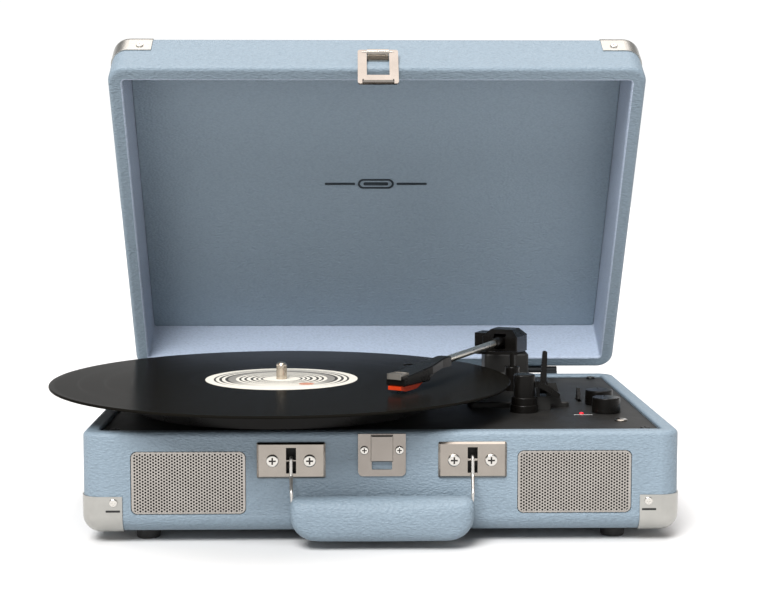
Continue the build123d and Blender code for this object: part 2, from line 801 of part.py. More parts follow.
holder_top = -9.0
stylus_bottom = record_top + stylus_gap - arm_z
with BuildPart() as holder:
    with BuildSketch(HEAD_SIDE.offset(-4.7)):
        with BuildLine():
            Polyline((stylus_distance + 5, holder_top), (stylus_distance + 5, stylus_bottom + 2.2),
                     (stylus_distance - 1, stylus_bottom + 1.0), (stylus_distance - 14, stylus_bottom + 1.4),
                     (stylus_distance - 22, holder_top), close=True)
        make_face()
    extrude(amount=9.4)
save(holder.part, "stylus_holder")

with BuildPart() as stylus:
    with BuildSketch(HEAD.offset(stylus_bottom)):
        with Locations((stylus_distance, 0)):
            Circle(0.25)
    with BuildSketch(HEAD.offset(stylus_bottom + 1.0)):
        with Locations((stylus_distance, 0)):
            Circle(0.7)
    loft()
save(stylus.part, "stylus_tip")

# ---------------------------------------------------------------- arm rest, cue lift and their levers
rest_place = (94.5, -41.0)
clip_x = 104.8
clip_z = 84.0
REST = Plane(origin=(rest_place[0], rest_place[1], 0), x_dir=(1, 0, 0), z_dir=(0, 0, 1))
with BuildPart() as rest_post:
    with BuildSketch(REST.offset(deck_z)):
        Circle(9.1)
    extrude(amount=5)
    with BuildSketch(REST.offset(deck_z + 5)):
        Circle(8.4)
    extrude(amount=5)
    ring_edges = rest_post.edges().filter_by(GeomType.CIRCLE).group_by(Axis.Z)
    fillet(ring_edges[-1], 0.8)
    fillet(ring_edges[-2].sort_by(SortBy.RADIUS)[-1], 0.6)
    with BuildSketch(REST.offset(deck_z + 10)):
        RectangleRounded(13.6, 13.6, 5)
    extrude(amount=14.7)
    fillet(rest_post.faces().sort_by(Axis.Z)[-1].edges(), 1.2)
    # lug and cross pin for the clip that locks the parked arm
    with Locations((clip_x - 2.5, rest_place[1], clip_z)):
        Box(7, 2.4, 4)
    with BuildSketch(Plane.XZ.offset(-rest_place[1] - 3.4)):
        with Locations((clip_x, clip_z)):
            Circle(0.9)
    extrude(amount=6.8)
save(rest_post.part, "arm_rest_post")

clip_reach = 13.0
clip_angle = radians(-32)
CLIP = Plane(
    origin=(clip_x, rest_place[1], clip_z),
    x_dir=(cos(clip_angle), 0, sin(clip_angle)),
    z_dir=(0, -1, 0),
)
with BuildPart() as arm_clip:
    for start in (-3.1, 1.6):
        with BuildSketch(CLIP.offset(start)):
            with Locations((clip_reach / 2, 0)):
                SlotOverall(clip_reach + 3.6, 3.6)
            Circle(0.9 + running_gap, mode=Mode.SUBTRACT)
        extrude(amount=1.5)
    with BuildSketch(CLIP.offset(-3.1)):
        with Locations((clip_reach, 0)):
            Circle(1.5)
    extrude(amount=6.2)
save(arm_clip.part, "arm_clip")

LIFT = Plane(origin=(lift_place[0], lift_place[1], 0), x_dir=(1, 0, 0), z_dir=(0, 0, 1))
with BuildPart() as lift_guide:
    with BuildSketch(LIFT.offset(deck_z + arm_plate_height)):
        Circle(5)
    extrude(amount=17)
    fillet(lift_guide.faces().sort_by(Axis.Z)[-1].edges(), 1)
    with Locations(LIFT.offset(deck_z + arm_plate_height + 17)):
        Hole(2.05)
save(lift_guide.part, "cue_lift_guide")

bar_top = arm_z - tube_radius - 0.7
bar_start = 229.0
bar_sweep = 46.0
PIVOT = Plane(origin=(pivot_x, pivot_y, 0), x_dir=(1, 0, 0), z_dir=(0, 0, 1))
with BuildPart() as lift_bar:
    with BuildSketch(LIFT.offset(60)):
        Circle(2.0)
    extrude(amount=bar_top - 60.5)
    with BuildSketch(PIVOT.offset(bar_top - 2)):
        with BuildLine():
            outer_arc = CenterArc((0, 0), lift_radius + 1.6, bar_start, bar_sweep)
            inner_arc = CenterArc((0, 0), lift_radius - 1.6, bar_start, bar_sweep)
            Line(outer_arc @ 0, inner_arc @ 0)
            Line(outer_arc @ 1, inner_arc @ 1)
        make_face()
    extrude(amount=2)
save(lift_bar.part, "cue_lift_bar")

lever_x = lever_place[0]
lever_y = lever_place[1]
lever_z = 80.0
with BuildPart() as bracket:
    with BuildSketch(Plane.XY.offset(deck_z)):
        with Locations(lever_place):
            Rectangle(8.6, 13.6)
    extrude(amount=9)
    for cheek_x in (lever_x - 4.3, lever_x + 2.5):
        with BuildSketch(Plane.YZ.offset(cheek_x)):
            with Locations((lever_y, 77)):
                Rectangle(10, 14)
        extrude(amount=1.8)
    with BuildSketch(Plane.YZ.offset(lever_x - 4.3)):
        with Locations((lever_y, lever_z)):
            Circle(1.2)
    extrude(amount=8.6)
    # sloping side rib that stiffens the outer cheek
    with BuildSketch(Plane.XZ.offset(-lever_y + 4)):
        with BuildLine():
            Polyline((lever_x + 4.3, 70), (lever_x + 4.3, 84), (lever_x + 8, 84),
                     (lever_x + 12, 70), close=True)
        make_face()
    extrude(amount=1.5)
save(bracket.part, "lever_bracket")

with BuildPart() as cue_lever:
    with BuildSketch(Plane.YZ.offset(lever_x - 2.1)):
        with Locations((lever_y, lever_z)):
            Circle(4)
    extrude(amount=4.2)
    with BuildSketch(Plane.XY.offset(lever_z)):
        with Locations((lever_x, lever_y)):
            Rectangle(4.2, 5)
    with BuildSketch(Plane.XY.offset(lever_z + 24.5)):
        with Locations((lever_x + 1.2, lever_y)):
            Rectangle(2.8, 3.2)
    loft()
    fillet(cue_lever.faces().sort_by(Axis.Z)[-1].edges(), 1.2)
    with BuildSketch(Plane.YZ.offset(lever_x - 3)):
        with Locations((lever_y, lever_z)):
            Circle(1.2 + running_gap)
    extrude(amount=6, mode=Mode.SUBTRACT)
save(cue_lever.part, "cue_lever")

# ---------------------------------------------------------------- knobs and speed lever
for name, place in control_places.items():
    KNOB = Plane(origin=(place[0], place[1], deck_z), x_dir=(1, 0, 0), z_dir=(0, 0, 1))
    with BuildPart() as knob:
        with BuildSketch(KNOB.offset(0.5)):
            Circle(9.3)
        extrude(amount=9.5, taper=1.5)
        fillet(knob.faces().sort_by(Axis.Z)[-1].edges(), 0.7)
        with BuildSketch(KNOB.offset(10)):
            with Locations((0, 5.5)):
                Rectangle(0.8, 5)
        extrude(amount=-0.4, mode=Mode.SUBTRACT)
        with BuildSketch(KNOB.offset(0.5)):
            Circle(3.0)
        extrude(amount=-8.5)
    save(knob.part, f"{name}_knob")

with BuildPart() as speed_lever:
    with BuildSketch(Plane.YZ.offset(speed_lever_place[0] - 1.1)):
        with BuildLine():
            mid_y = speed_lever_place[1]
            Polyline((mid_y - 3, deck_z - 7), (mid_y - 3, deck_z + 1), (mid_y - 4.5, deck_z + 1.2),
                     (mid_y - 1, deck_z + 8.5), (mid_y + 1, deck_z + 8.5), (mid_y + 4.5, deck_z + 1.2),
                     (mid_y + 3, deck_z + 1), (mid_y + 3, deck_z - 7), close=True)
        make_face()
    extrude(amount=2.2)
save(speed_lever.part, "speed_lever")

# ================================================================ lid
with BuildPart() as lid_outer:
    with BuildSketch(LID.offset(lid_rim)):
        with Locations((0, lid_middle)):
            RectangleRounded(case_width, case_depth, corner_radius)
    extrude(amount=lid_height)
    lid_axis = Axis(LID.origin, LID.z_dir)
    fillet(lid_outer.faces().sort_by(lid_axis)[-1].edges(), lid_edge_radius)
    fillet(lid_outer.faces().sort_by(lid_axis)[0].edges(), rim_radius)

with BuildPart() as lid_shell:
    add(lid_outer.part)
    with BuildSketch(LID.offset(lid_rim)):
        with Locations((0, lid_middle)):
            RectangleRounded(inner_width, inner_depth, 2)
    extrude(amount=lid_height - lid_panel, mode=Mode.SUBTRACT)
    fillet(lid_shell.faces().sort_by(lid_axis)[0].inner_wires()[0].edges(), 1.5)
save(lid_shell.part, "lid_shell")

liner_z = lid_top - lid_panel - liner_thickness
with BuildPart() as lid_liner:
    with BuildSketch(LID.offset(liner_z)):
        with Locations((0, lid_middle)):
            RectangleRounded(inner_width - 0.8, inner_depth - 0.8, 1.6)
    extrude(amount=liner_thickness)
save(lid_liner.part, "lid_liner")

emblem_y = lid_middle - 12
with BuildPart() as emblem:
    with BuildSketch(LID.offset(liner_z)):
        with Locations((0, emblem_y)):
            SlotOverall(26, 8)
            SlotOverall(23, 5.6, mode=Mode.SUBTRACT)
            SlotOverall(18, 2.4)
        with Locations((-26, emblem_y), (26, emblem_y)):
            SlotOverall(22, 1.6)
    extrude(amount=-0.6)
save(emblem.part, "lid_emblem")

lid_corner_reach = 25.0
with BuildPart() as lid_corners:
    with BuildSketch(LID.offset(lid_top + corner_gauge)):
        with Locations((0, lid_middle)):
            RectangleRounded(
                case_width + 2 * corner_gauge, case_depth + 2 * corner_gauge, corner_radius + corner_gauge
            )
    extrude(amount=-lid_height)
    fillet(lid_corners.faces().sort_by(lid_axis)[-1].edges(), lid_edge_radius + corner_gauge)
    add(lid_outer.part, mode=Mode.SUBTRACT)
    with BuildSketch(LID.offset(lid_top + 2)):
        with Locations((0, lid_middle)):
            with GridLocations(case_width - lid_corner_reach, case_depth - lid_corner_reach, 2, 2):
                Rectangle(lid_corner_reach + 4, lid_corner_reach + 4)
    extrude(amount=-22 - 2, mode=Mode.INTERSECT)
save(lid_corners.part, "lid_corners")

# ---------------------------------------------------------------- hinges
def axis_circle(radius):
    """Circle about the lid's hinge axis, drawn on a plane across the hinge."""
    with Locations((hinge_y, hinge_z)):
        Circle(radius)


knuckle_width = hinge_width / 3
lid_knuckle_width = knuckle_width - 0.8
with BuildPart() as base_leaves:
    for side in (-1, 1):
        with BuildSketch(BACK):
            with Locations((side * hinge_x, rim_z - 11)):
                Rectangle(hinge_width, 20)
        extrude(amount=1.2)
        for end in (-1, 1):
            centre = side * hinge_x + end * knuckle_width
            with BuildSketch(Plane.YZ.offset(centre - knuckle_width / 2)):
                with Locations((half_depth + 1.9, rim_z + 0.2)):
                    Rectangle(3.8, 2.6)
            extrude(amount=knuckle_width)
            with BuildSketch(Plane.YZ.offset(centre - knuckle_width / 2)):
                axis_circle(barrel_radius)
            extrude(amount=knuckle_width)
            with BuildSketch(Plane.YZ.offset(centre - knuckle_width / 2)):
                axis_circle(hinge_pin_radius + running_gap)
            extrude(amount=knuckle_width, mode=Mode.SUBTRACT)
save(base_leaves.part, "hinge_base_leaves")

with BuildPart() as lid_leaves:
    for side in (-1, 1):
        with BuildSketch(LID_BACK):
            with Locations((-side * hinge_x, 12)):
                Rectangle(hinge_width, 18)
        extrude(amount=1.2)
        with BuildSketch(LID_BACK):
            with Locations((-side * hinge_x, 2)):
                Rectangle(lid_knuckle_width, 6)
        extrude(amount=2.6)
        with BuildSketch(Plane.YZ.offset(side * hinge_x - lid_knuckle_width / 2)):
            axis_circle(barrel_radius)
        extrude(amount=lid_knuckle_width)
        with BuildSketch(Plane.YZ.offset(side * hinge_x - lid_knuckle_width / 2)):
            axis_circle(hinge_pin_radius + running_gap)
        extrude(amount=lid_knuckle_width, mode=Mode.SUBTRACT)
save(lid_leaves.part, "hinge_lid_leaves")

with BuildPart() as hinge_pins:
    for side in (-1, 1):
        with BuildSketch(Plane.YZ.offset(side * hinge_x - hinge_width / 2)):
            with Locations((hinge_y, hinge_z)):
                Circle(hinge_pin_radius)
        extrude(amount=hinge_width)
save(hinge_pins.part, "hinge_pins")

lid_hinge_places = [(side * hinge_x + shift, 14) for side in (-1, 1) for shift in (-11, 11)]
lid_screw_z = lid_top - 16
lid_corner_places = [(-half_width + 19, lid_screw_z), (half_width - 19, lid_screw_z)]
# ---------------------------------------------------------------- hasp on the lid
hasp_pivot_z = lid_rim + 14.5
hasp_pivot_out = 4.0
hasp_angle = 14.0
hasp_width = 27.0
hasp_length = 33.0
hasp_window = 15.0
strap_width = 14.4
hasp_axis = LID.from_local_coords((0, lid_front - hasp_pivot_out, hasp_pivot_z))
hasp_axis = Vector(*hasp_axis)
strap_screw_places = [(-4.5, hasp_pivot_z + 6), (4.5, hasp_pivot_z + 6)]
with BuildPart() as hasp_strap:
    with BuildSketch(LID_FRONT):
        with Locations((0, hasp_pivot_z + 1.5)):
            RectangleRounded(strap_width, 14, 1)
        with Locations(*strap_screw_places):
            Circle(0.75, mode=Mode.SUBTRACT)
    extrude(amount=1.2)
    with BuildSketch(Plane.YZ.offset(-strap_width / 2)):
        with Locations((hasp_axis.Y, hasp_axis.Z)):
            Circle(2.2)
    extrude(amount=strap_width)
    with BuildSketch(LID_FRONT):
        with Locations((0, hasp_pivot_z)):
            Rectangle(strap_width, 3.4)
    extrude(amount=hasp_pivot_out)
    with BuildSketch(Plane.YZ.offset(-strap_width / 2)):
        with Locations((hasp_axis.Y, hasp_axis.Z)):
            Circle(1.0 + running_gap)
    extrude(amount=strap_width, mode=Mode.SUBTRACT)
save(hasp_strap.part, "hasp_strap")

lid_screw_groups = [
    (LID_BACK.offset(1.2), lid_hinge_places, small_screw),
    (LID_FRONT.offset(corner_gauge), lid_corner_places, small_screw),
    (LID_FRONT.offset(1.2), strap_screw_places, (1.5, 0.7, 0.7, 5)),
]
save(pan_head(lid_screw_groups), "lid_small_screws")

# the frame hangs from its pin and leans in past the rim of the open lid
tilt = radians(hasp_angle)
HASP = Plane(
    origin=hasp_axis,
    x_dir=(1, 0, 0),
    z_dir=LID.y_dir * -cos(tilt) - LID.z_dir * sin(tilt),
)
with BuildPart() as hasp_frame:
    with BuildSketch(HASP.offset(-0.6)):
        with Locations((0, 2 - hasp_length / 2)):
            RectangleRounded(hasp_width, hasp_length, 1.8)
        with Locations((0, -10.35)):
            Rectangle(hasp_window, 24.8, mode=Mode.SUBTRACT)
    extrude(amount=1.2)
    # folded lip along the free edge
    with BuildSketch(HASP.offset(0.6)):
        with Locations((0, 4 - hasp_length)):
            Rectangle(hasp_width - 6, 3)
    extrude(amount=1.6)
    chamfer(hasp_frame.faces().sort_by(Axis(HASP.origin, HASP.z_dir))[-1].edges(), 1.0)
    with BuildSketch(Plane.YZ.offset(-hasp_window / 2 - 3)):
        with Locations((hasp_axis.Y, hasp_axis.Z)):
            Circle(1.0)
    extrude(amount=hasp_window + 6)
save(hasp_frame.part, "hasp_frame")

# ================================================================ handle
with BuildPart() as grip:
    with BuildSketch(Plane.XZ.offset(-grip_y - grip_thickness / 2)):
        with BuildLine():
            Polyline((-grip_width / 2, grip_top), (grip_width / 2, grip_top),
                     (grip_width / 2, grip_bottom), (-grip_width / 2, grip_bottom), close=True)
        make_face()
        fillet(vertices().group_by(Axis.Y)[0], 16)
        fillet(vertices().group_by(Axis.Y)[-1], 4)
    extrude(amount=grip_thickness)
    fillet(grip.faces().filter_by(Axis.Y).edges(), 7)
save(grip.part, "handle_grip")

eye_radius = 2.0
with BuildPart() as wires:
    for side in (-1, 1):
        eye_x = side * handle_x
        eye_front = handle_pivot_y - eye_radius
        with Locations((eye_x, handle_pivot_y, handle_z)):
            Torus(eye_radius, wire_radius, rotation=(0, 90, 0))
        with BuildLine() as route:
            FilletPolyline(
                (eye_x, eye_front, handle_z),
                (eye_x, eye_front - 0.9, handle_z - 9),
                (eye_x - side * 0.5, grip_y, grip_top + 2),
                (eye_x - side * 1.6, grip_y, grip_top - 12),
                radius=4,
            )
        with BuildSketch(Plane(origin=route.line @ 0, z_dir=route.line % 0)):
            Circle(wire_radius)
        sweep()
save(wires.part, "handle_wires")
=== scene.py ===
"""Looks of the suitcase record player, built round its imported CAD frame. Metres, +Z up, +X right."""
import json
from math import atan2, cos, hypot, radians, sin, tau

import bmesh
import bpy
from mathutils import Matrix, Vector


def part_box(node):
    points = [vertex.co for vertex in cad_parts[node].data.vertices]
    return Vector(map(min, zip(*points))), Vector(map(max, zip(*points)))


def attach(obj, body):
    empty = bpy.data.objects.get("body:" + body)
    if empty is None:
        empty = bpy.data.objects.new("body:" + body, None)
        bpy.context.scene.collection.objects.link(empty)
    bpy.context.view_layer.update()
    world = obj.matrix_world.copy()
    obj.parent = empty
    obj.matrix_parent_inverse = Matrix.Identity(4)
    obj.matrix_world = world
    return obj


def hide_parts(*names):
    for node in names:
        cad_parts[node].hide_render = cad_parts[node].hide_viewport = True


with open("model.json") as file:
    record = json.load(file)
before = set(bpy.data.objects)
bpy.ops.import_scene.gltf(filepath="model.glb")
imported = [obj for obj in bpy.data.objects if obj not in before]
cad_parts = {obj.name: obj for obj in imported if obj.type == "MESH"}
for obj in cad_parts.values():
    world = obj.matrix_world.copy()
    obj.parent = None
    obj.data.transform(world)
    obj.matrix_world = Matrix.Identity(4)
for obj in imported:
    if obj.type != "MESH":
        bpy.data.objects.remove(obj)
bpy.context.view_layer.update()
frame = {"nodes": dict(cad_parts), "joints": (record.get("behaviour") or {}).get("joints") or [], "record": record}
nodes = frame["nodes"]
joints = {joint["name"]: joint for joint in frame["joints"]}
MM = 0.001


# ================================================================ material building blocks
def new_material(name, color, roughness, metallic=0.0, **sockets):
    """One Principled material; extra sockets are named with underscores for spaces."""
    made = bpy.data.materials.new(name)
    made.use_nodes = True
    shader = made.node_tree.nodes["Principled BSDF"]
    shader.inputs["Base Color"].default_value = (*color, 1)
    shader.inputs["Roughness"].default_value = roughness
    shader.inputs["Metallic"].default_value = metallic
    for key, value in sockets.items():
        shader.inputs[key.replace("_", " ")].default_value = value
    return made


def add_node(mat, kind, inputs=None, **settings):
    """Adds a node. Each input is a constant or another node's output socket."""
    made = mat.node_tree.nodes.new(kind)
    for key, value in settings.items():
        setattr(made, key, value)
    for key, value in (inputs or {}).items():
        if isinstance(value, bpy.types.NodeSocket):
            mat.node_tree.links.new(value, made.inputs[key])
        else:
            made.inputs[key].default_value = value
    return made


def feed(mat, socket, output):
    """Links an output to a socket of the material's shader."""
    mat.node_tree.links.new(output, mat.node_tree.nodes["Principled BSDF"].inputs[socket])


def object_coords(mat, scale=(1, 1, 1), shift=(0, 0, 0)):
    """Coordinates fixed to the piece, in metres before scaling."""
    coords = add_node(mat, "ShaderNodeTexCoord")
    mapping = add_node(mat, "ShaderNodeMapping", {"Vector": coords.outputs["Object"]})
    mapping.inputs["Scale"].default_value = scale
    mapping.inputs["Location"].default_value = shift
    return mapping.outputs["Vector"]


def ramp(mat, factor, stops, constant=False):
    """Colour ramp with (position, colour) stops."""
    made = add_node(mat, "ShaderNodeValToRGB", {"Fac": factor})
    made.color_ramp.interpolation = "CONSTANT" if constant else "LINEAR"
    elements = made.color_ramp.elements
    for position, color in stops[2:]:
        elements.new(position)
    for element, (position, color) in zip(elements, stops):
        element.position = position
    for element, (position, color) in zip(elements, stops):
        element.color = (*color, 1) if len(color) == 3 else color
    return made.outputs["Color"]


def math_node(mat, operation, first, second=0.0, third=0.0):
    made = add_node(mat, "ShaderNodeMath", operation=operation)
    for place, value in enumerate((first, second, third)):
        if isinstance(value, bpy.types.NodeSocket):
            mat.node_tree.links.new(value, made.inputs[place])
        else:
            made.inputs[place].default_value = value
    return made.outputs["Value"]


def bump(mat, height, distance, strength=1.0):
    made = add_node(
        mat, "ShaderNodeBump", {"Height": height, "Distance": distance, "Strength": strength}
    )
    feed(mat, "Normal", made.outputs["Normal"])


def noise(mat, coords, scale, detail=3.0, roughness=0.55):
    made = add_node(
        mat, "ShaderNodeTexNoise",
        {"Vector": coords, "Scale": scale, "Detail": detail, "Roughness": roughness},
    )
    return made.outputs["Fac"]


def vary_roughness(mat, factor, low, high):
    made = add_node(mat, "ShaderNodeMapRange", {"Value": factor, "To Min": low, "To Max": high})
    feed(mat, "Roughness", made.outputs["Result"])


def shade(color, factor):
    return tuple(min(1.0, channel * factor) for channel in color)


# ================================================================ materials
def leatherette(name, color, grain=1.0):
    """Pebbled vinyl cloth: fine wavelets longer sideways than high, painted shade in the creases, rubbed edges."""
    mat = new_material(name, color, 0.5, Specular_IOR_Level=0.35)
    coords = object_coords(mat, (0.5, 1, 1))
    cells = add_node(
        mat, "ShaderNodeTexVoronoi",
        {"Vector": coords, "Scale": 950.0 * grain, "Smoothness": 0.8, "Randomness": 1.0},
        feature="SMOOTH_F1",
    )
    domes = math_node(mat, "SUBTRACT", 1.0, cells.outputs["Distance"])
    waves = noise(mat, coords, 760 * grain, 3, 0.6)
    height = math_node(mat, "MULTIPLY_ADD", waves, 1.1, domes)
    bump(mat, height, 0.00042, 0.9)
    # painted shade: the colour darkens down into the creases between the pebbles
    crease_shade = ramp(mat, domes, [(0.3, shade(color, 0.9)), (0.8, shade(color, 1.03))])
    blotch = add_node(
        mat, "ShaderNodeMapRange", {"Value": noise(mat, coords, 9, 3), "To Min": 0.96, "To Max": 1.04}
    )
    tinted = add_node(mat, "ShaderNodeVectorMath", operation="SCALE")
    mat.node_tree.links.new(crease_shade, tinted.inputs[0])
    mat.node_tree.links.new(blotch.outputs["Result"], tinted.inputs["Scale"])
    edges = add_node(mat, "ShaderNodeNewGeometry")
    worn = add_node(
        mat, "ShaderNodeMapRange",
        {"Value": edges.outputs["Pointiness"], "From Min": 0.53, "From Max": 0.6, "To Max": 0.25},
    )
    final = add_node(mat, "ShaderNodeMix", {"Factor": worn.outputs["Result"]}, data_type="RGBA")
    mat.node_tree.links.new(tinted.outputs[0], final.inputs["A"])
    final.inputs["B"].default_value = (*shade(color, 1.3), 1)
    feed(mat, "Base Color", final.outputs["Result"])
    vary_roughness(mat, waves, 0.6, 0.42)
    return mat


def plastic(name, color, roughness, grain_scale=2400.0, depth=0.00004, **sockets):
    """Moulded plastic with a fine grain and faint mould blotches."""
    mat = new_material(name, color, roughness, **sockets)
    coords = object_coords(mat)
    bump(mat, noise(mat, coords, grain_scale, 2), depth, 0.6)
    blotch = noise(mat, coords, 70, 3)
    vary_roughness(mat, blotch, roughness - 0.07, roughness + 0.08)
    feed(mat, "Base Color", ramp(mat, blotch, [(0.3, shade(color, 0.85)), (0.75, shade(color, 1.25))]))
    return mat


def metal(name, color, roughness, brush=(1, 1, 1), brush_scale=900.0, depth=0.00002, spread=0.1):
    """Plated or brushed metal: directional scratches, and handling smears in a darker tone."""
    mat = new_material(name, color, roughness, metallic=1.0)
    scratch = noise(mat, object_coords(mat, brush), brush_scale, 4, 0.7)
    bump(mat, scratch, depth, 0.5)
    smear = noise(mat, object_coords(mat), 90, 4)
    vary_roughness(mat, smear, roughness - spread * 0.5, roughness + spread)
    feed(mat, "Base Color", ramp(mat, smear, [(0.3, shade(color, 0.88)), (0.7, color)]))
    return mat


def woven(name, color, pitch):
    """Plain weave or felt seen close: two crossed thread waves with fuzz."""
    mat = new_material(name, color, 0.95, Sheen_Weight=0.25)
    coords = object_coords(mat)
    warp = add_node(mat, "ShaderNodeTexWave", {"Vector": coords, "Scale": pitch}, bands_direction="X")
    weft = add_node(mat, "ShaderNodeTexWave", {"Vector": coords, "Scale": pitch}, bands_direction="Z")
    fuzz = noise(mat, coords, pitch * 3, 3)
    cloth = math_node(mat, "MULTIPLY", warp.outputs["Fac"], weft.outputs["Fac"])
    bump(mat, math_node(mat, "ADD", cloth, fuzz), 0.00015, 0.7)
    feed(mat, "Base Color", ramp(mat, fuzz, [(0.3, shade(color, 0.7)), (0.7, shade(color, 1.3))]))
    return mat


spindle_low, spindle_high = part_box("spindle")
record_centre = (spindle_low + spindle_high) / 2
record_reach = 150.5 * MM
label_reach = 50 * MM


def disc_radius(mat):
    """Distance from the spindle's axis in metres, and the offset vector from it."""
    coords = object_coords(mat, shift=(-record_centre.x, -record_centre.y, 0))
    flat = add_node(mat, "ShaderNodeVectorMath", operation="MULTIPLY")
    mat.node_tree.links.new(coords, flat.inputs[0])
    flat.inputs[1].default_value = (1, 1, 0)
    size = add_node(mat, "ShaderNodeVectorMath", operation="LENGTH")
    mat.node_tree.links.new(flat.outputs[0], size.inputs[0])
    return size.outputs["Value"], flat.outputs[0]


def record_vinyl():
    """Grooved vinyl: reflections stretch across the grooves, with smooth bands between the tracks."""
    mat = new_material("record_vinyl", (0.0065, 0.006, 0.005), 0.2,
                       Specular_IOR_Level=0.002, Anisotropic=0.6)
    radius, offset = disc_radius(mat)
    around = add_node(mat, "ShaderNodeVectorMath", operation="CROSS_PRODUCT")
    around.inputs[0].default_value = (0, 0, 1)
    mat.node_tree.links.new(offset, around.inputs[1])
    tangent = add_node(mat, "ShaderNodeVectorMath", operation="NORMALIZE")
    mat.node_tree.links.new(around.outputs[0], tangent.inputs[0])
    feed(mat, "Tangent", tangent.outputs[0])
    edge = record_reach
    smooth, cut = (0.16,) * 3, (0.2,) * 3
    bands = [(0.0, smooth), (61 * MM / edge, cut)]
    for gap in (79, 97, 114, 131):
        bands += [(gap * MM / edge, smooth), ((gap + 0.9) * MM / edge, cut)]
    bands.append((146.5 * MM / edge, smooth))
    share = math_node(mat, "DIVIDE", radius, edge)
    feed(mat, "Roughness", ramp(mat, share, bands, constant=True))
    groove = math_node(mat, "SINE", math_node(mat, "MULTIPLY", radius, tau / (0.8 * MM)))
    uneven = add_node(mat, "ShaderNodeCombineXYZ", {"X": math_node(mat, "MULTIPLY", radius, 1400.0)})
    rings = noise(mat, uneven.outputs["Vector"], 1.0, 4, 0.7)
    bump(mat, math_node(mat, "MULTIPLY_ADD", groove, 0.25, rings), 0.00003, 0.45)
    return mat


def record_label():
    """Cream paper with plain rings of varied weight that stop short of the front, and a round stamp."""
    paper, ink, grey = (0.66, 0.63, 0.56), (0.035, 0.033, 0.03), (0.22, 0.21, 0.19)
    mat = new_material("label_paper", paper, 0.6)
    radius, offset = disc_radius(mat)
    share = math_node(mat, "DIVIDE", radius, label_reach)
    rings = [(0.0, paper)]
    for start, width in ((0.25, 0.025), (0.31, 0.025), (0.375, 0.035), (0.46, 0.03), (0.53, 0.025)):
        rings += [(start, ink), (start + width, paper)]
    rings += [(0.6, grey), (0.7, ink), (0.74, paper)]
    for start, width in ((0.785, 0.035), (0.86, 0.03)):
        rings += [(start, ink), (start + width, paper)]
    printed = ramp(mat, share, rings, constant=True)
    parts = add_node(mat, "ShaderNodeSeparateXYZ", {"Vector": offset})
    behind = add_node(
        mat, "ShaderNodeMapRange",
        {"Value": parts.outputs["Y"], "From Min": -36 * MM, "From Max": -14 * MM},
    )
    ringed = add_node(mat, "ShaderNodeMix", {"Factor": behind.outputs["Result"]}, data_type="RGBA")
    ringed.inputs["A"].default_value = (*paper, 1)
    mat.node_tree.links.new(printed, ringed.inputs["B"])
    away = add_node(mat, "ShaderNodeVectorMath", operation="DISTANCE")
    mat.node_tree.links.new(offset, away.inputs[0])
    away.inputs[1].default_value = (17 * MM, -24 * MM, 0)
    inside = math_node(mat, "LESS_THAN", away.outputs["Value"], 5 * MM)
    final = add_node(mat, "ShaderNodeMix", {"Factor": inside}, data_type="RGBA")
    mat.node_tree.links.new(ringed.outputs["Result"], final.inputs["A"])
    final.inputs["B"].default_value = (0.45, 0.2, 0.13, 1)
    feed(mat, "Base Color", final.outputs["Result"])
    bump(mat, noise(mat, object_coords(mat), 3000, 3), 0.00003, 0.4)
    return mat


vinyl_blue = (0.185, 0.239, 0.286)
covering = leatherette("vinyl_blue", vinyl_blue)
# painted light: the panel's liner is the outer covering's blue made lighter, standing in for the light that
# reaches the lid's panel
lining = leatherette("liner_blue", (0.22, 0.28, 0.335), 1.1)
# painted light: a much lighter copy of the liner for the lid's inner walls, standing in for the light they catch
wall_liner_painted_light = leatherette("liner_wall_blue_painted_light", (0.365, 0.425, 0.525), 1.1)
black_deck = plastic("black_deck", (0.011, 0.0105, 0.0095), 0.5, 1500, 0.00006, Specular_IOR_Level=0.3)
black_plastic = plastic("black_plastic", (0.0036, 0.0031, 0.0026), 0.28, Specular_IOR_Level=0.15)
nickel = metal("nickel", (0.42, 0.385, 0.345), 0.16, (1, 8, 8), 500, 0.000015)
# painted shade and painted highlight: the plates and hasp strap get a darker copy of the nickel, the catch and
# hasp frame a darker one still, and the screws and handle wires lighter copies, standing in for what the one
# plating reflects
plate_nickel_painted_shade = metal("plate_nickel_painted_shade", (0.35, 0.32, 0.285), 0.18, (1, 8, 8), 500, 0.000015)
catch_nickel_painted_shade = metal("catch_nickel_painted_shade", (0.29, 0.265, 0.24), 0.2, (1, 8, 8), 500, 0.000015)
screw_nickel_painted_light = metal("screw_nickel_painted_light", (0.68, 0.66, 0.62), 0.14, (1, 8, 8), 500, 0.000015)
wire_nickel_painted_light = metal("wire_nickel_painted_light", (0.62, 0.6, 0.57), 0.36)
hinge_dark = plastic("hinge_dark", (0.018, 0.02, 0.022), 0.55, Specular_IOR_Level=0.2)
corner_steel = metal("corner_steel", (0.46, 0.455, 0.43), 0.34, (1, 1, 14), 420, 0.00003)
grille_steel = metal("grille_metal", (0.44, 0.415, 0.385), 0.3, (1, 1, 1), 1500)
screw_black = metal("screw_black", (0.05, 0.05, 0.05), 0.4)
turned = metal("spindle_metal", (0.66, 0.58, 0.48), 0.2, (1, 1, 20), 700)
champagne = metal("arm_metal", (0.74, 0.7, 0.62), 0.26, (6, 6, 1), 600)
plain_steel = metal("steel_parts", (0.5, 0.5, 0.5), 0.35)
